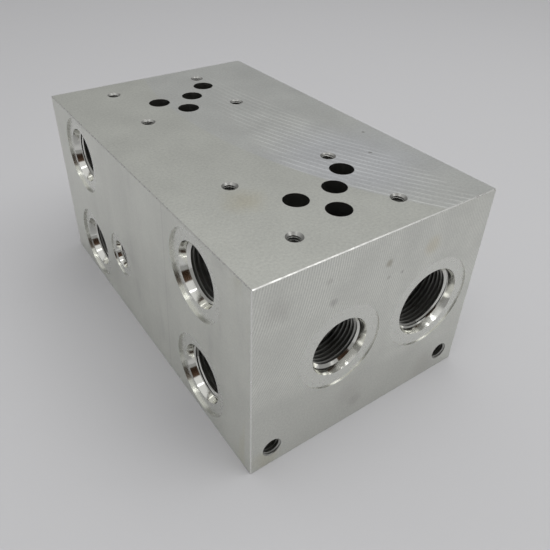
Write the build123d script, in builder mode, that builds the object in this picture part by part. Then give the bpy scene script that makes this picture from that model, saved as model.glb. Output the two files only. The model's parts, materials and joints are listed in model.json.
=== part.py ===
from build123d import *
from dataclasses import dataclass
from math import radians, tan
import os

# Two-station hydraulic valve manifold, machined from one aluminium bar.
#
# Millimetres, +Z up. The origin is the centre of the bottom face. The long side lies along Y.
# The pressure and return galleries run from end to end along Y, the work ports open on the
# -X side, and the two valves bolt down on the top face.

# ---- Bar ---------------------------------------------------------------------------------
bar_width = 126.0
bar_length = 208.0
bar_height = 102.0
edge_break = 0.4

# ---- Valve stations: size 05 interface, places counted from its first bolt hole -----------
station_pitch = 127.0
station_offset = -5.3
bolt_span_x = 54.0
bolt_span_y = 46.0
port_p_at = (27.0, 6.3)
port_a_at = (16.7, 21.4)
port_b_at = (37.3, 21.4)
port_t_at = (50.8, 32.5)
valve_port_bore = 11.5

# ---- Tapped fastening holes ----------------------------------------------------------------
valve_bolt_tap_drill = 5.1
valve_bolt_mouth = 7.4
valve_bolt_depth = 20.0
end_bolt_tap_drill = 7.94
end_bolt_mouth = 9.6
end_bolt_depth = 22.0
end_bolt_inset = 11.0
end_bolt_height = 10.5

# ---- Galleries and cross drillings ----------------------------------------------------------
gallery_height = 51.5
pressure_offset = -18.4
pressure_gallery_bore = 23.8
return_offset = 33.85
return_gallery_bore = 28.5
gallery_overrun = 8.0
work_passage_bore = 19.0
work_port_shift = 1.8
upper_port_drop = 21.65
lower_port_height = 23.35
passage_overrun = 3.0
gauge_port_y = 24.0
gauge_port_height = 39.0
gauge_passage_bore = 9.5

# ---- Tooling ---------------------------------------------------------------------------------
drill_point_angle = 118.0
countersink_angle = 90.0
run_out = 1.0


@dataclass
class PortForm:
    """Straight-thread port with an O-ring seat. The thread itself is cut in the tap drill's wall."""

    tap_drill: float
    tapped_depth: float
    seat_mouth: float
    seat_depth: float
    seat_half_angle: float
    spotface: float
    spotface_depth: float


pressure_port = PortForm(24.7, 24.0, 29.2, 3.3, 15.0, 42.6, 0.5)
return_port = PortForm(31.1, 24.0, 35.5, 3.3, 15.0, 47.7, 0.5)
work_port = PortForm(24.7, 24.0, 29.2, 3.3, 15.0, 41.4, 1.15)
gauge_port = PortForm(13.0, 16.0, 15.6, 2.5, 12.0, 24.6, 0.5)


def point_length(diameter):
    """Length of a twist drill's point."""
    return diameter / 2 / tan(radians(drill_point_angle / 2))


def port_cutter(form):
    """What the form tool and the tap drill remove: mouth at the origin, running down -Z."""
    seat_floor = form.spotface_depth + form.seat_depth
    seat_end = form.seat_mouth / 2 - form.seat_depth * tan(radians(form.seat_half_angle))
    tap_radius = form.tap_drill / 2
    lead_in = seat_floor + seat_end - tap_radius
    drill_floor = form.spotface_depth + form.tapped_depth
    with BuildPart() as cutter:
        with BuildSketch(Plane.XZ):
            with BuildLine():
                Polyline(
                    (0, run_out),
                    (form.spotface / 2, run_out),
                    (form.spotface / 2, -form.spotface_depth),
                    (form.seat_mouth / 2, -form.spotface_depth),
                    (seat_end, -seat_floor),
                    (tap_radius, -lead_in),
                    (tap_radius, -drill_floor),
                    (0, -drill_floor - point_length(form.tap_drill)),
                    close=True,
                )
            make_face()
        revolve(axis=Axis.Z)
    return cutter.part


def drill_cutter(diameter, depth):
    """What a twist drill removes to a full-diameter depth: mouth at the origin, running down -Z."""
    radius = diameter / 2
    with BuildPart() as cutter:
        with BuildSketch(Plane.XZ):
            with BuildLine():
                Polyline(
                    (0, run_out),
                    (radius, run_out),
                    (radius, -depth),
                    (0, -depth - point_length(diameter)),
                    close=True,
                )
            make_face()
        revolve(axis=Axis.Z)
    return cutter.part


def on_end(x, z, end):
    """Spot on the -Y end (end = -1) or the +Y end (end = 1), facing out of the bar."""
    return Plane(origin=(x, end * bar_length / 2, z), z_dir=(0, end, 0))


def on_side(y, z):
    """Spot on the -X side, facing out of the bar."""
    return Plane(origin=(-bar_width / 2, y, z), z_dir=(-1, 0, 0))


def on_top(station, place):
    """Spot on the top face, at a place of a station's valve interface."""
    x = station_offset - bolt_span_x / 2 + place[0]
    y = station - bolt_span_y / 2 + place[1]
    return Plane(origin=(x, y, bar_height), z_dir=(0, 0, 1))


stations = (-station_pitch / 2, station_pitch / 2)
upper_port_height = bar_height - upper_port_drop
bolt_corners = [(x, y) for x in (0, bolt_span_x) for y in (0, bolt_span_y)]

# Each drilling runs just past the axis of the passage that it opens into.
gallery_reach = bar_height - gallery_height + gallery_overrun
port_a_reach = on_top(0, port_a_at).origin.X + bar_width / 2 + passage_overrun
port_b_reach = on_top(0, port_b_at).origin.X + bar_width / 2 + passage_overrun
gauge_reach = pressure_offset + bar_width / 2

pressure_port_cutter = port_cutter(pressure_port)
return_port_cutter = port_cutter(return_port)
work_port_cutter = port_cutter(work_port)
gauge_port_cutter = port_cutter(gauge_port)
gallery_feed_cutter = drill_cutter(valve_port_bore, gallery_reach)
port_a_feed_cutter = drill_cutter(valve_port_bore, upper_port_drop)
port_b_feed_cutter = drill_cutter(valve_port_bore, bar_height - lower_port_height)
upper_passage_cutter = drill_cutter(work_passage_bore, port_a_reach)
lower_passage_cutter = drill_cutter(work_passage_bore, port_b_reach)
gauge_passage_cutter = drill_cutter(gauge_passage_bore, gauge_reach)

with BuildPart() as manifold_block:
    Box(bar_width, bar_length, bar_height, align=(Align.CENTER, Align.CENTER, Align.MIN))
    chamfer(manifold_block.edges(), edge_break)

    # Pressure and return galleries, from end to end, with a threaded port at each end
    with Locations(on_end(pressure_offset, gallery_height, -1)):
        Hole(pressure_gallery_bore / 2)
    with Locations(on_end(return_offset, gallery_height, -1)):
        Hole(return_gallery_bore / 2)
    with Locations(*[on_end(pressure_offset, gallery_height, end) for end in (-1, 1)]):
        add(pressure_port_cutter, mode=Mode.SUBTRACT)
    with Locations(*[on_end(return_offset, gallery_height, end) for end in (-1, 1)]):
        add(return_port_cutter, mode=Mode.SUBTRACT)

    # Work ports of each station: A above, B below, each with its cross drilling
    with Locations(*[on_side(y + work_port_shift, upper_port_height) for y in stations]):
        add(work_port_cutter, mode=Mode.SUBTRACT)
        add(upper_passage_cutter, mode=Mode.SUBTRACT)
    with Locations(*[on_side(y + work_port_shift, lower_port_height) for y in stations]):
        add(work_port_cutter, mode=Mode.SUBTRACT)
        add(lower_passage_cutter, mode=Mode.SUBTRACT)

    # Gauge port, into the pressure gallery
    with Locations(on_side(gauge_port_y, gauge_port_height)):
        add(gauge_port_cutter, mode=Mode.SUBTRACT)
        add(gauge_passage_cutter, mode=Mode.SUBTRACT)

    # Valve interfaces: P and T down to the galleries, A and B down to the cross drillings
    with Locations(*[on_top(y, place) for y in stations for place in (port_p_at, port_t_at)]):
        add(gallery_feed_cutter, mode=Mode.SUBTRACT)
    with Locations(*[on_top(y, port_a_at) for y in stations]):
        add(port_a_feed_cutter, mode=Mode.SUBTRACT)
    with Locations(*[on_top(y, port_b_at) for y in stations]):
        add(port_b_feed_cutter, mode=Mode.SUBTRACT)
    with Locations(*[on_top(y, corner) for y in stations for corner in bolt_corners]):
        CounterSinkHole(
            valve_bolt_tap_drill / 2, valve_bolt_mouth / 2, valve_bolt_depth, countersink_angle
        )

    # Tapped holes that hold the bar, low in each end
    end_bolt_places = [
        on_end(side * (bar_width / 2 - end_bolt_inset), end_bolt_height, end)
        for side in (-1, 1)
        for end in (-1, 1)
    ]
    with Locations(*end_bolt_places):
        CounterSinkHole(
            end_bolt_tap_drill / 2, end_bolt_mouth / 2, end_bolt_depth, countersink_angle
        )

manifold_block.part.label = "manifold_block"
os.makedirs("parts", exist_ok=True)
export_step(manifold_block.part, "parts/manifold_block.step")
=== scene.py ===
import json
import math
from dataclasses import dataclass

import bmesh
import bpy
import numpy as np
from mathutils import Euler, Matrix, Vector


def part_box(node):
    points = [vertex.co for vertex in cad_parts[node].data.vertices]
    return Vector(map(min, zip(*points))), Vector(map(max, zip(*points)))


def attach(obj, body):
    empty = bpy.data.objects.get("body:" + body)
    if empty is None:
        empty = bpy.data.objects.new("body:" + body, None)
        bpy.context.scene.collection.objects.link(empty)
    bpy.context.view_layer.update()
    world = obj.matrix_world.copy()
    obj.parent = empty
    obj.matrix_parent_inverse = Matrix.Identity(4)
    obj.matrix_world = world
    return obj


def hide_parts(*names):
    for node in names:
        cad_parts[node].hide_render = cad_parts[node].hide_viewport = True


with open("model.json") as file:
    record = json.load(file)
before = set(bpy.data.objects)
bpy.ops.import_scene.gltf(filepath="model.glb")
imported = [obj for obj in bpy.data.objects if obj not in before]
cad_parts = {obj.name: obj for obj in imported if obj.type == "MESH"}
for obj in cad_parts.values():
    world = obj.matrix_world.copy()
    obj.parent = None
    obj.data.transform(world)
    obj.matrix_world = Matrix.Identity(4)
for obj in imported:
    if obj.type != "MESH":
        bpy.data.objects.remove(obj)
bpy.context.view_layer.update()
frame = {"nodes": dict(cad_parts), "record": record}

# Looks of a two-station hydraulic manifold block: cut threads in every tapped hole, and the finish
# that each tool left, with painted shade as darker colour in the bores, threads and countersinks.
# Lengths here are millimetres; objects and textures are in metres.

MM = 0.001
BLOCK = "manifold_block"
BODY = "root"
EDGE_BAND = 0.45 * MM
ON_SURFACE = 0.02 * MM
DEEPEST_TURNED = 30.0 * MM
SHARP_ANGLE = math.radians(25)
MERGE_DISTANCE = 0.0005 * MM


# ---- Node trees ------------------------------------------------------------------------------


class Graph:
    """Adds nodes to one tree. An input is a number, a vector, a colour or another node's output."""

    def __init__(self, tree):
        self.tree = tree

    def node(self, kind, inputs=None, **settings):
        node = self.tree.nodes.new(kind)
        for name, value in settings.items():
            setattr(node, name, value)
        for key, value in (inputs or {}).items():
            if isinstance(value, bpy.types.NodeSocket):
                self.tree.links.new(value, node.inputs[key])
            else:
                node.inputs[key].default_value = value
        return node

    def math(self, operation, *values, clamp=False):
        kind = "ShaderNodeMath"
        node = self.node(kind, dict(enumerate(values)), operation=operation, use_clamp=clamp)
        return node.outputs[0]

    def vector(self, operation, *values):
        node = self.node("ShaderNodeVectorMath", dict(enumerate(values)), operation=operation)
        return node.outputs["Value" if operation in ("DISTANCE", "DOT_PRODUCT", "LENGTH") else "Vector"]

    def step(self, value, start, end, low=0.0, high=1.0):
        """Smooth change from low at start to high at end."""
        inputs = {"Value": value, "From Min": start, "From Max": end, "To Min": low, "To Max": high}
        return self.node("ShaderNodeMapRange", inputs, interpolation_type="SMOOTHSTEP").outputs[0]

    def tint(self, factor, low, high, blend_type="MIX"):
        """Colour between low and high."""
        inputs = {0: factor, 6: low, 7: high}
        node = self.node("ShaderNodeMix", inputs, data_type="RGBA", blend_type=blend_type)
        return node.outputs[2]


# ---- Threads ---------------------------------------------------------------------------------


@dataclass
class Thread:
    """Unified thread of every mount whose name starts with mounts. Depths run from the face."""

    mounts: str
    major: float
    tap_drill: float
    turns_per_inch: int
    first_turn: float
    last_turn: float
    columns: int
    clearance: float
    rim: float
    seat_mouth: float
    seat_floor: float


THREADS = [
    Thread("pressure_port", 26.99, 24.70, 12, 3.2, 22.8, 72, 0.20, 42.6, 29.2, 5.2),
    Thread("return_port", 33.34, 31.10, 12, 3.2, 22.8, 80, 0.20, 47.7, 35.5, 5.2),
    Thread("work_port", 26.99, 24.70, 12, 3.8, 23.4, 72, 0.20, 41.4, 29.2, 5.9),
    Thread("gauge_port", 14.29, 13.00, 18, 2.5, 15.0, 48, 0.15, 24.6, 15.6, 3.8),
    Thread("valve_bolts", 6.35, 5.10, 20, -0.6, 13.0, 26, 0.15, 7.4, 8.0, 1.2),
    Thread("end_bolt_", 9.525, 7.94, 16, -0.6, 17.0, 32, 0.15, 9.6, 10.0, 0.9),
]


def mouths_of(thread):
    """Mouth and outward axis of every hole with this thread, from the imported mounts."""
    low, high = (np.array(corner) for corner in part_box(BLOCK))
    found = []
    for mount in frame["record"]["mounts"]:
        if not mount["name"].startswith(thread.mounts):
            continue
        axis = np.array(mount["axis"], float)
        place = np.array(mount["pos_m"], float)
        side = int(np.argmax(np.abs(axis)))
        place[side] = high[side] if axis[side] > 0 else low[side]
        dims = mount["dims"]
        half_x = dims.get("spacing_x_mm", 0) * MM / 2
        half_y = dims.get("spacing_y_mm", 0) * MM / 2
        offsets = {(sx * half_x, sy * half_y, 0.0) for sx in (-1, 1) for sy in (-1, 1)}
        for offset in sorted(offsets):
            found.append((place + np.array(offset), axis))
    return found


def thread_cutter_tree(material):
    """Geometry nodes that wind one helical groove cutter down each hole of the incoming points."""
    tree = bpy.data.node_groups.new("thread_cutter", "GeometryNodeTree")
    for name, socket in (
        ("Mouths", "NodeSocketGeometry"),
        ("Major Diameter", "NodeSocketFloat"),
        ("Tap Drill", "NodeSocketFloat"),
        ("Pitch", "NodeSocketFloat"),
        ("First Turn", "NodeSocketFloat"),
        ("Last Turn", "NodeSocketFloat"),
        ("Clearance", "NodeSocketFloat"),
        ("Columns", "NodeSocketInt"),
        ("Seed", "NodeSocketInt"),
    ):
        tree.interface.new_socket(name, in_out="INPUT", socket_type=socket)
    tree.interface.new_socket("Cutters", in_out="OUTPUT", socket_type="NodeSocketGeometry")
    g = Graph(tree)
    size = g.node("NodeGroupInput").outputs

    # Groove section: a 60 degree vee with a flat root, standing on a core just inside the bore.
    core = g.math("SUBTRACT", g.math("MULTIPLY", size["Tap Drill"], 0.5), size["Clearance"])
    depth = g.math("SUBTRACT", g.math("MULTIPLY", size["Major Diameter"], 0.5), core)
    root_half = g.math("DIVIDE", size["Pitch"], 16.0)
    core_half = g.math("MULTIPLY_ADD", depth, math.tan(math.radians(30)), root_half)
    section = g.node("GeometryNodeCurvePrimitiveQuadrilateral", mode="POINTS")
    corners = ((0.0, core_half, -1), (depth, root_half, -1), (depth, root_half, 1), (0.0, core_half, 1))
    for number, (out, half, side) in enumerate(corners, start=1):
        across = g.math("MULTIPLY", half, float(side))
        point = g.node("ShaderNodeCombineXYZ", {"X": out, "Y": across})
        tree.links.new(point.outputs[0], section.inputs[f"Point {number}"])

    # Helix down the bore, fading out over its last turn.
    length = g.math("SUBTRACT", size["Last Turn"], size["First Turn"])
    turns = g.math("DIVIDE", length, size["Pitch"])
    helix = g.node(
        "GeometryNodeCurveSpiral",
        {
            "Resolution": size["Columns"],
            "Rotations": turns,
            "Start Radius": core,
            "End Radius": core,
            "Height": length,
            "Reverse": True,
        },
    )
    upright = g.node("GeometryNodeSetCurveNormal", {"Curve": helix.outputs[0]}, mode="Z_UP")
    along = g.node("GeometryNodeSplineParameter").outputs["Factor"]
    grown = g.math("MAXIMUM", g.math("MINIMUM", g.math("MULTIPLY", along, turns), 1.0), 0.05)
    groove = g.node(
        "GeometryNodeCurveToMesh",
        {
            "Curve": upright.outputs[0],
            "Profile Curve": section.outputs[0],
            "Scale": grown,
            "Fill Caps": True,
        },
    )
    sunk = g.node("ShaderNodeCombineXYZ", {"Z": g.math("MULTIPLY", size["Last Turn"], -1.0)})
    placed = g.node(
        "GeometryNodeTransform", {"Geometry": groove.outputs[0], "Translation": sunk.outputs[0]}
    )

    # One cutter to each mouth, pointing along the bore and started at its own angle.
    axis = g.node("GeometryNodeInputNamedAttribute", {"Name": "bore_axis"}, data_type="FLOAT_VECTOR")
    facing = g.node("FunctionNodeAlignRotationToVector", {"Vector": axis.outputs[0]}, axis="Z")
    start = g.node(
        "FunctionNodeRandomValue",
        {"Min": (0, 0, 0), "Max": (0, 0, math.tau), "Seed": size["Seed"]},
        data_type="FLOAT_VECTOR",
    )
    spin = g.node("FunctionNodeEulerToRotation", {"Euler": start.outputs[0]})
    turned = g.node(
        "FunctionNodeRotateRotation",
        {"Rotation": facing.outputs[0], "Rotate By": spin.outputs[0]},
        rotation_space="LOCAL",
    )
    copies = g.node(
        "GeometryNodeInstanceOnPoints",
        {
            "Points": size["Mouths"],
            "Instance": placed.outputs[0],
            "Rotation": turned.outputs[0],
        },
    )
    solid = g.node("GeometryNodeRealizeInstances", {"Geometry": copies.outputs[0]})
    finished = g.node(
        "GeometryNodeSetMaterial", {"Geometry": solid.outputs[0], "Material": material}
    )
    out = g.node("NodeGroupOutput")
    tree.links.new(finished.outputs[0], out.inputs[0])
    return tree


def cutters_for(tree, thread, seed):
    """Mesh of the groove cutters of one thread size, all its holes together."""
    holes = mouths_of(thread)
    mesh = bpy.data.meshes.new("thread_mouths")
    mesh.from_pydata([tuple(place) for place, _ in holes], [], [])
    facing = mesh.attributes.new("bore_axis", "FLOAT_VECTOR", "POINT")
    facing.data.foreach_set("vector", np.array([axis for _, axis in holes]).ravel())
    mouths = bpy.data.objects.new("thread_mouths", mesh)
    bpy.context.scene.collection.objects.link(mouths)
    winding = mouths.modifiers.new("wind", "NODES")
    winding.node_group = tree
    sockets = {item.name: item.identifier for item in tree.interface.items_tree}
    for name, value in (
        ("Major Diameter", thread.major * MM),
        ("Tap Drill", thread.tap_drill * MM),
        ("Pitch", 25.4 / thread.turns_per_inch * MM),
        ("First Turn", thread.first_turn * MM),
        ("Last Turn", thread.last_turn * MM),
        ("Clearance", thread.clearance * MM),
        ("Columns", thread.columns),
        ("Seed", seed),
    ):
        winding[sockets[name]] = value
    depsgraph = bpy.context.evaluated_depsgraph_get()
    evaluated = mouths.evaluated_get(depsgraph)
    cutters = bpy.data.meshes.new_from_object(evaluated, depsgraph=depsgraph)
    bpy.data.objects.remove(mouths)
    return cutters


def merged_copy(node):
    """Closed mesh of a CAD node, whose own triangles are loose."""
    shell = bmesh.new()
    shell.from_mesh(frame["nodes"][node].data)
    bmesh.ops.remove_doubles(shell, verts=shell.verts, dist=MERGE_DISTANCE)
    mesh = bpy.data.meshes.new("machined_block")
    shell.to_mesh(mesh)
    shell.free()
    for layer in [layer for layer in mesh.attributes if layer.name == "custom_normal"]:
        mesh.attributes.remove(layer)
    return mesh


def cut_threads(mesh, plain, painted_shade_thread_metal):
    """The block with every thread cut into its tap drill's wall; thread faces have material 1."""
    tree = thread_cutter_tree(painted_shade_thread_metal)
    gathered = bmesh.new()
    for seed, thread in enumerate(THREADS, start=1):
        cutters = cutters_for(tree, thread, seed)
        gathered.from_mesh(cutters)
        bpy.data.meshes.remove(cutters)
    bmesh.ops.recalc_face_normals(gathered, faces=gathered.faces)
    for face in gathered.faces:
        face.material_index = 1
    cutter_mesh = bpy.data.meshes.new("thread_cutters")
    gathered.to_mesh(cutter_mesh)
    gathered.free()
    cutter = bpy.data.objects.new("thread_cutters", cutter_mesh)
    block = bpy.data.objects.new("machined_block", mesh)
    for piece in (cutter, block):
        bpy.context.scene.collection.objects.link(piece)
        piece.data.materials.clear()
        piece.data.materials.append(plain)
        piece.data.materials.append(painted_shade_thread_metal)
    tapping = block.modifiers.new("tap", "BOOLEAN")
    tapping.operation = "DIFFERENCE"
    tapping.solver = "MANIFOLD"
    tapping.object = cutter
    depsgraph = bpy.context.evaluated_depsgraph_get()
    tapped = bpy.data.meshes.new_from_object(block.evaluated_get(depsgraph), depsgraph=depsgraph)
    block.modifiers.remove(tapping)
    block.data = tapped
    bpy.data.objects.remove(cutter)
    return block


# ---- Finishes --------------------------------------------------------------------------------


def metal(name, roughness, base):
    """Bare aluminium, with its graph, its shader and its object coordinates in millimetres."""
    material = bpy.data.materials.new(name)
    material.use_nodes = True
    g = Graph(material.node_tree)
    shader = material.node_tree.nodes["Principled BSDF"]
    shader.inputs["Metallic"].default_value = 1.0
    shader.inputs["Base Color"].default_value = (*base, 1.0)
    shader.inputs["Roughness"].default_value = roughness
    coordinates = g.node("ShaderNodeTexCoord")
    point = g.node(
        "ShaderNodeMapping", {"Vector": coordinates.outputs["Object"], "Scale": (1 / MM,) * 3}
    )
    return material, g, shader, point.outputs[0]


def relief(g, shader, height, depth):
    """Bump of that depth in millimetres where height is 1."""
    bump = g.node("ShaderNodeBump", {"Strength": 1.0, "Distance": depth * MM, "Height": height})
    g.tree.links.new(bump.outputs[0], shader.inputs["Normal"])


def noise(g, point, scale, stretch=(1.0, 1.0, 1.0), detail=3.0, roughness=0.55):
    """Noise of about that many lumps per millimetre, longer where stretch is small."""
    stretched = g.vector("MULTIPLY", point, stretch)
    inputs = {"Vector": stretched, "Scale": scale, "Detail": detail, "Roughness": roughness}
    return g.node("ShaderNodeTexNoise", inputs).outputs[0]


def ridges(g, distance, spacing, sharpness):
    """Raised lines at that spacing along a distance, 1 on each crest."""
    turn = g.math("PINGPONG", g.math("DIVIDE", distance, spacing), 0.5)
    return g.math("POWER", g.math("MULTIPLY", turn, 2.0), sharpness)


def spot(g, point, place, radius, edge=0.5):
    """Round mark, 1 inside and 0 outside, with a ragged edge."""
    ragged = g.math("MULTIPLY_ADD", noise(g, point, 0.9 / radius), radius, -0.5 * radius)
    distance = g.math("ADD", g.vector("DISTANCE", point, place), ragged)
    return g.step(distance, radius * (1 + edge), radius * (1 - edge))


def milled_top():
    """Face-milled valve face: sweeping arcs on one side of the last pass, satin on the other."""
    material, g, shader, point = metal("milled_top", 0.40, (0.74, 0.74, 0.72))
    flat = g.vector("MULTIPLY", point, (1.0, 1.0, 0.0))
    axes = g.node("ShaderNodeSeparateXYZ", {0: flat}).outputs
    past_pass = g.math("SUBTRACT", 250.0, g.vector("DISTANCE", flat, (235.0, 40.0, 0.0)))
    wander = g.math("MULTIPLY", noise(g, flat, 0.03), 1.2)
    sweep = g.math("ADD", g.vector("DISTANCE", flat, (315.0, 86.0, 0.0)), wander)
    coarse = ridges(g, sweep, 3.6, 5.0)
    fine = ridges(g, sweep, 1.8, 3.0)
    in_pass = g.step(past_pass, 0.0, 2.0)
    left_limit = g.step(g.math("MULTIPLY_ADD", axes["Y"], -0.15, axes["X"]), 0.0, 8.0)
    right_limit = g.step(g.math("MULTIPLY_ADD", axes["Y"], 0.11, axes["X"]), 44.0, 36.0)
    towards_front = g.step(axes["Y"], 78.0, 20.0, 0.25, 1.0)
    patchy = g.step(noise(g, flat, 0.05), 0.35, 0.6, 0.45, 1.0)
    band = g.math("MULTIPLY", g.math("MULTIPLY", left_limit, right_limit), in_pass)
    band = g.math("MULTIPLY", band, g.math("MULTIPLY", towards_front, patchy))
    lines = g.math("MULTIPLY", coarse, band)
    hatch = g.math("MULTIPLY", fine, g.math("MULTIPLY_ADD", band, 0.30, 0.06))

    grain = noise(g, flat, 0.8, detail=5.0, roughness=0.75)
    cloud = noise(g, flat, 0.045, detail=4.0)
    shade = g.math("MULTIPLY_ADD", cloud, 0.16, 0.92)
    shade = g.math("MULTIPLY_ADD", grain, 0.56, g.math("SUBTRACT", shade, 0.31))
    shade = g.math("MULTIPLY_ADD", lines, 0.32, shade)
    shade = g.math("MULTIPLY_ADD", hatch, 0.24, shade)
    tone = g.tint(in_pass, (0.705, 0.715, 0.665, 1.0), (0.700, 0.712, 0.685, 1.0))
    cool = spot(g, flat, (26.0, -48.0, 0.0), 34.0, 0.6)
    cool = g.math("MULTIPLY", g.math("MULTIPLY", cool, in_pass), 0.8)
    tone = g.tint(cool, tone, (0.700, 0.715, 0.735, 1.0))
    stain = spot(g, flat, (-34.0, -54.0, 0.0), 7.0, 0.9)
    tone = g.tint(g.math("MULTIPLY", stain, 0.5), tone, (0.66, 0.62, 0.48, 1.0))
    right_speck = spot(g, flat, (54.3, -29.0, 0.0), 0.8)
    speck = g.math("MAXIMUM", spot(g, flat, (41.0, -48.4, 0.0), 0.9), right_speck)
    tone = g.tint(g.math("MULTIPLY", speck, 0.6), tone, (0.25, 0.24, 0.22, 1.0))
    lit = g.node("ShaderNodeVectorMath", {0: tone, "Scale": shade}, operation="SCALE")
    g.tree.links.new(lit.outputs[0], shader.inputs["Base Color"])
    rough = g.math("MULTIPLY_ADD", cloud, 0.12, 0.36)
    g.tree.links.new(g.math("MULTIPLY_ADD", lines, -0.08, rough), shader.inputs["Roughness"])
    height = g.math("MULTIPLY_ADD", grain, 0.35, g.math("ADD", lines, g.math("MULTIPLY", hatch, 0.4)))
    relief(g, shader, height, 0.08)
    return material


def milled_end():
    """End face: close arcs of a cutter fed across it, fading towards the foot."""
    material, g, shader, point = metal("milled_end", 0.38, (0.74, 0.74, 0.72))
    flat = g.vector("MULTIPLY", point, (1.0, 0.0, 1.0))
    radius, tilt = 127.0, math.radians(-24.0)
    feed = (math.cos(tilt), 0.0, math.sin(tilt))
    across = (-math.sin(tilt), 0.0, math.cos(tilt))
    origin = (-62.0, 0.0, 72.0)
    offset = g.vector("SUBTRACT", flat, origin)
    side = g.vector("DOT_PRODUCT", offset, across)
    bulge = g.math("SQRT", g.math("SUBTRACT", radius**2, g.math("MULTIPLY", side, side)))
    fed = g.math("SUBTRACT", g.vector("DOT_PRODUCT", offset, feed), bulge)
    fed = g.math("ADD", fed, g.math("MULTIPLY", noise(g, flat, 0.04), 0.8))
    arcs = ridges(g, fed, 1.27, 1.5)
    axes = g.node("ShaderNodeSeparateXYZ", {0: flat}).outputs
    foot = g.step(g.math("MULTIPLY_ADD", axes["X"], 0.18, axes["Z"]), 26.0, 34.0, 0.10, 1.0)
    patchy = g.step(noise(g, flat, 0.045), 0.35, 0.62, 0.35, 1.0)
    lines = g.math("MULTIPLY", arcs, g.math("MULTIPLY", foot, patchy))

    grain = noise(g, flat, 1.0, detail=5.0, roughness=0.7)
    cloud = noise(g, flat, 0.05, detail=4.0)
    shade = g.math("MULTIPLY_ADD", cloud, 0.14, 0.93)
    shade = g.math("MULTIPLY_ADD", grain, 0.44, g.math("SUBTRACT", shade, 0.22))
    shade = g.math("MULTIPLY_ADD", lines, 0.30, g.math("SUBTRACT", shade, 0.08))
    tone = (0.720, 0.727, 0.680, 1.0)
    for place, size, strength, colour in (
        ((27.6, 0.0, 85.7), 4.0, 0.56, (0.66, 0.62, 0.50, 1.0)),
        ((2.6, 0.0, 86.6), 1.6, 0.72, (0.45, 0.43, 0.36, 1.0)),
        ((3.4, 0.0, 79.0), 0.8, 0.56, (0.45, 0.44, 0.40, 1.0)),
        ((11.2, 0.0, 78.8), 0.7, 0.64, (0.40, 0.39, 0.37, 1.0)),
        ((-25.6, 0.0, 79.4), 1.8, 0.56, (0.45, 0.44, 0.42, 1.0)),
        ((-28.5, 0.0, 90.8), 1.5, 0.40, (0.50, 0.49, 0.46, 1.0)),
        ((-52.0, 0.0, 87.0), 5.0, 0.32, (0.50, 0.49, 0.46, 1.0)),
        ((-5.5, 0.0, 11.0), 3.5, 0.48, (0.52, 0.51, 0.48, 1.0)),
        ((-10.0, 0.0, 18.0), 6.0, 0.32, (0.55, 0.54, 0.51, 1.0)),
        ((-55.0, 0.0, 5.0), 6.0, 0.48, (0.62, 0.60, 0.48, 1.0)),
        ((40.0, 0.0, 8.0), 7.0, 0.32, (0.55, 0.54, 0.50, 1.0)),
    ):
        mark = g.math("MULTIPLY", spot(g, flat, place, size, 0.7), strength)
        tone = g.tint(mark, tone, colour)
    lit = g.node("ShaderNodeVectorMath", {0: tone, "Scale": shade}, operation="SCALE")
    g.tree.links.new(lit.outputs[0], shader.inputs["Base Color"])
    g.tree.links.new(g.math("MULTIPLY_ADD", cloud, 0.12, 0.34), shader.inputs["Roughness"])
    height = g.math("MULTIPLY_ADD", grain, 0.5, lines)
    relief(g, shader, height, 0.04)
    return material


def satin_side():
    """Long sides and foot: a fine satin surface with faint upright streaks and handling stains."""
    material, g, shader, point = metal("satin_side", 0.36, (0.74, 0.74, 0.72))
    streak = noise(g, point, 0.10, (1.0, 1.0, 0.12), detail=4.0)
    cloud = noise(g, point, 0.035, detail=5.0)
    grain = noise(g, point, 1.2, detail=5.0, roughness=0.7)
    shade = g.math("MULTIPLY_ADD", streak, 0.14, 0.93)
    shade = g.math("MULTIPLY_ADD", cloud, 0.26, g.math("SUBTRACT", shade, 0.13))
    shade = g.math("MULTIPLY_ADD", grain, 0.26, g.math("SUBTRACT", shade, 0.13))
    tone = (0.730, 0.738, 0.685, 1.0)
    axes = g.node("ShaderNodeSeparateXYZ", {0: point}).outputs
    dull = g.step(noise(g, point, 0.06, (1.0, 1.0, 0.35), detail=4.0), 0.55, 0.75)
    tone = g.tint(g.math("MULTIPLY", dull, 0.45), tone, (0.58, 0.58, 0.55, 1.0))
    # A faint upright scribed line on the port side only.
    scribed = g.math("ABSOLUTE", g.math("ADD", g.math("MULTIPLY_ADD", axes["Z"], 0.0735, 29.3), axes["Y"]))
    scribed = g.math("MULTIPLY", g.step(scribed, 0.7, 0.2), g.step(axes["X"], 0.0, -1.0))
    tone = g.tint(g.math("MULTIPLY", scribed, 0.35), tone, (0.58, 0.58, 0.55, 1.0))
    near_end = g.step(axes["Y"], -86.0, -101.0)
    yellowed = g.step(noise(g, point, 0.09, (1.0, 1.0, 0.15), detail=3.0), 0.48, 0.62)
    wash = g.math("MULTIPLY", g.math("MULTIPLY", near_end, yellowed), 0.35)
    tone = g.tint(wash, tone, (0.68, 0.66, 0.50, 1.0))
    lit = g.node("ShaderNodeVectorMath", {0: tone, "Scale": shade}, operation="SCALE")
    g.tree.links.new(lit.outputs[0], shader.inputs["Base Color"])
    g.tree.links.new(g.math("MULTIPLY_ADD", cloud, 0.14, 0.30), shader.inputs["Roughness"])
    relief(g, shader, g.math("MULTIPLY_ADD", grain, 0.5, streak), 0.02)
    return material


def broken_edge():
    """Filed edges of the bar, brighter than the faces."""
    material, g, shader, point = metal("broken_edge", 0.34, (0.80, 0.80, 0.77))
    worn = noise(g, point, 0.4, detail=4.0)
    g.tree.links.new(g.step(worn, 0.3, 0.7, 0.22, 0.42), shader.inputs["Roughness"])
    relief(g, shader, worn, 0.02)
    return material


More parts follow.
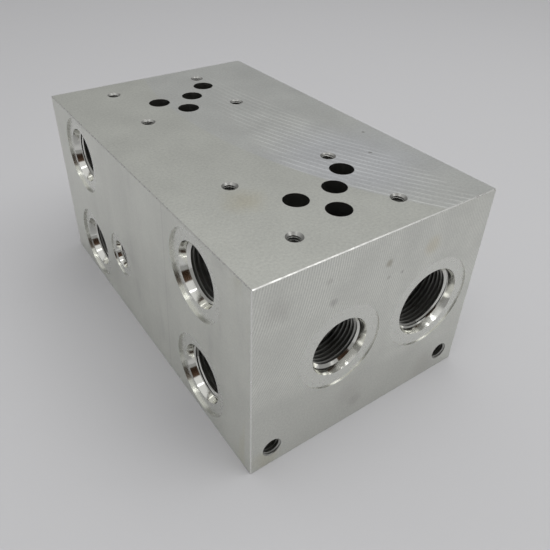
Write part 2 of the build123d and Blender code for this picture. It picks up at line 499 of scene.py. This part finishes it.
def turned(name, roughness, base, spacing, depth, along):
    """Surface of a form tool: fine rings round the bore, spaced along its radius or its depth."""
    material, g, shader, point = metal(name, roughness, base)
    turning = g.node("ShaderNodeAttribute", attribute_name="turning").outputs["Vector"]
    distance = g.node("ShaderNodeSeparateXYZ", {0: turning}).outputs[along]
    uneven = g.math("MULTIPLY_ADD", noise(g, point, 0.3), 0.15, distance)
    rings = ridges(g, uneven, spacing, 1.0)
    cloud = noise(g, point, 0.25, detail=4.0)
    g.tree.links.new(
        g.math("MULTIPLY_ADD", cloud, 0.10, roughness - 0.05), shader.inputs["Roughness"]
    )
    relief(g, shader, rings, depth)
    return material


plain = metal("packed_aluminium", 0.4, (0.74, 0.74, 0.72))[0]
# Thread faces: their darker base colour is painted shade inside the tapped holes; the rings are the cut.
painted_shade_thread_metal = turned("cut_thread_painted_shade", 0.22, (0.56, 0.56, 0.53), 0.25, 0.004, "Y")
block = cut_threads(merged_copy(BLOCK), plain, painted_shade_thread_metal)
FINISHES = {
    "cut_thread_painted_shade": painted_shade_thread_metal,
    "milled_top": milled_top(),
    "milled_end": milled_end(),
    "satin_side": satin_side(),
    "broken_edge": broken_edge(),
    "spotface": turned("spotface", 0.27, (0.75, 0.757, 0.710), 0.45, 0.008, "X"),
    "polished_seat": turned("polished_seat", 0.10, (0.74, 0.74, 0.70), 0.30, 0.002, "Y"),
    # Bolt countersinks: their dark base colour is painted shade in the recess, which also dims their
    # highlights.
    "countersink_painted_shade": turned("countersink_painted_shade", 0.32, (0.42, 0.42, 0.40), 0.30, 0.006, "Y"),
    # Bore walls: their dark base colour is painted shade inside the bores, not a darker metal.
    "drilled_wall_painted_shade": turned("drilled_wall_painted_shade", 0.34, (0.36, 0.36, 0.34), 0.5, 0.01, "Y"),
}


def dress(block):
    """Gives each face of the block the finish of the tool that cut it; the bores, threads and countersinks
    get darker colours that are painted shade.
    """
    mesh = block.data
    low, high = (np.array(corner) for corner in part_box(BLOCK))
    count = len(mesh.polygons)
    centre, normal = np.zeros(count * 3), np.zeros(count * 3)
    mesh.polygons.foreach_get("center", centre)
    mesh.polygons.foreach_get("normal", normal)
    centre, normal = centre.reshape(-1, 3), normal.reshape(-1, 3)
    old = np.zeros(count, int)
    mesh.polygons.foreach_get("material_index", old)
    points = np.zeros(len(mesh.vertices) * 3)
    mesh.vertices.foreach_get("co", points)
    points = points.reshape(-1, 3)

    names = list(FINISHES)
    # Faces left unclassified are bore walls, whose darker colour is painted shade.
    finish = np.full(count, names.index("drilled_wall_painted_shade"))
    slack = ON_SURFACE
    outer = ((centre < low + EDGE_BAND) | (centre > high - EDGE_BAND)).sum(axis=1)
    finish[outer >= 2] = names.index("broken_edge")
    for axis, name in enumerate(("satin_side", "milled_end", "milled_top")):
        for side, limit in ((-1, low), (1, high)):
            on_face = (np.abs(centre[:, axis] - limit[axis]) < slack) & (
                normal[:, axis] * side > 0.99
            )
            foot = axis == 2 and side == -1
            finish[on_face] = names.index("satin_side" if foot else name)

    turning = np.zeros_like(points)
    nearest = np.full(len(points), 1e9)
    for thread in THREADS:
        for mouth, bore in mouths_of(thread):
            depth, radius = along_bore(centre, mouth, bore)
            inside = (depth > slack) & (depth < thread.seat_floor * MM + slack)
            ring = inside & (radius < thread.rim / 2 * MM + slack)
            bolted = thread.rim < thread.seat_mouth
            # Bolt countersinks get the darker colour, painted shade; port seats keep the bright polished
            # metal.
            finish[ring] = names.index("countersink_painted_shade" if bolted else "polished_seat")
            flat = ring & (radius > thread.seat_mouth / 2 * MM - slack)
            flat &= np.abs(normal @ bore) > 0.9
            finish[flat] = names.index("spotface")
            depth, radius = along_bore(points, mouth, bore)
            own = (depth > -slack) & (depth < DEEPEST_TURNED) & (radius < thread.rim / 2 * MM + slack)
            own &= radius < nearest
            nearest[own] = radius[own]
            turning[own, 0], turning[own, 1] = radius[own] / MM, depth[own] / MM
    # Thread faces take the darker thread colour, painted shade in the tapped holes.
    finish[old == 1] = names.index("cut_thread_painted_shade")
    attribute = mesh.attributes.new("turning", "FLOAT_VECTOR", "POINT")
    attribute.data.foreach_set("vector", turning.astype(np.float32).ravel())
    mesh.materials.clear()
    for material in FINISHES.values():
        mesh.materials.append(material)
    mesh.polygons.foreach_set("material_index", finish.astype(np.int32))
    mesh.shade_smooth()
    mesh.set_sharp_from_angle(angle=SHARP_ANGLE)
    mesh.update()


def along_bore(points, mouth, bore):
    """Depth below the mouth and distance from the bore's axis."""
    offset = points - mouth
    rise = offset @ bore
    return -rise, np.linalg.norm(offset - rise[:, None] * bore, axis=1)


dress(block)
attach(block, BODY)
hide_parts(BLOCK)


# ---- Studio ----------------------------------------------------------------------------------


def pale_floor():
    mesh = bpy.data.meshes.new("floor")
    half = 3.0
    corners = [(-half, -half, 0), (half, -half, 0), (half, half, 0), (-half, half, 0)]
    mesh.from_pydata(corners, [], [(0, 1, 2, 3)])
    floor = bpy.data.objects.new("floor", mesh)
    bpy.context.scene.collection.objects.link(floor)
    material = bpy.data.materials.new("pale_paper")
    material.use_nodes = True
    shader = material.node_tree.nodes["Principled BSDF"]
    shader.inputs["Base Color"].default_value = (0.50, 0.50, 0.51, 1.0)
    shader.inputs["Roughness"].default_value = 0.9
    shader.inputs["Specular IOR Level"].default_value = 0.1
    mesh.materials.append(material)
    return floor


def soft_lamp(name, place, target, size, power):
    lamp = bpy.data.lights.new(name, "AREA")
    lamp.shape = "RECTANGLE"
    lamp.size, lamp.size_y = size
    lamp.energy = power
    holder = bpy.data.objects.new(name, lamp)
    holder.location = place
    holder.rotation_euler = (Vector(target) - Vector(place)).to_track_quat("-Z", "Y").to_euler()
    bpy.context.scene.collection.objects.link(holder)
    return holder


DOORWAY = (-0.166, -0.835, 0.525)
WINDOW = (0.468, -0.578, 0.668)


def studio_world():
    world = bpy.data.worlds.new("studio")
    world.use_nodes = True
    g = Graph(world.node_tree)
    background = world.node_tree.nodes["Background"]
    background.inputs["Color"].default_value = (1.0, 1.0, 1.0, 1.0)
    direction = g.node("ShaderNodeTexCoord").outputs["Generated"]
    height = g.node("ShaderNodeSeparateXYZ", {0: direction}).outputs["Z"]
    shade = g.step(height, 0.42, 0.75, 0.31, 0.76)
    # A dark doorway and a bright window in front, which only the polished seats and edges show.
    doorway = g.vector("DOT_PRODUCT", direction, DOORWAY)
    open_wall = g.step(doorway, 0.93, 0.965, 1.0, 0.0)
    window = g.vector("DOT_PRODUCT", direction, WINDOW)
    glow = g.step(window, 0.965, 0.990, 0.0, 1.1)
    strength = g.math("ADD", g.math("MULTIPLY", shade, g.step(open_wall, 0.0, 1.0, 0.30, 1.0)), glow)
    world.node_tree.links.new(strength, background.inputs["Strength"])
    wall = g.tint(open_wall, (0.34, 0.20, 0.13, 1.0), (1.0, 1.0, 1.0, 1.0))
    world.node_tree.links.new(wall, background.inputs["Color"])
    bpy.context.scene.world = world


floor = pale_floor()
studio_world()
overhead = soft_lamp("overhead_softbox", (0.12, -0.34, 1.25), (0, 0, 0.05), (1.5, 1.3), 9.0)
overhead.visible_glossy = False
for name, along in (("near_tube", -0.45), ("far_tube", 0.35)):
    soft_lamp(name, (along, -0.25, 1.5), (0, 0, 0.05), (0.10, 1.2), 1.0)

camera_data = bpy.data.cameras.new("camera")
camera_data.sensor_width = 36.0
camera_data.lens = 37.5294
camera_data.shift_x = 0.022505
camera_data.shift_y = -0.046427
camera_data.clip_start = 0.01
camera = bpy.data.objects.new("camera", camera_data)
camera.location = Vector((-143.019, -224.939, 221.377)) * MM
camera.rotation_euler = Euler([math.radians(a) for a in (54.66507, -0.89297, -34.19542)], "XYZ")
bpy.context.scene.collection.objects.link(camera)
bpy.context.scene.camera = camera
bpy.context.scene.view_settings.view_transform = "Standard"
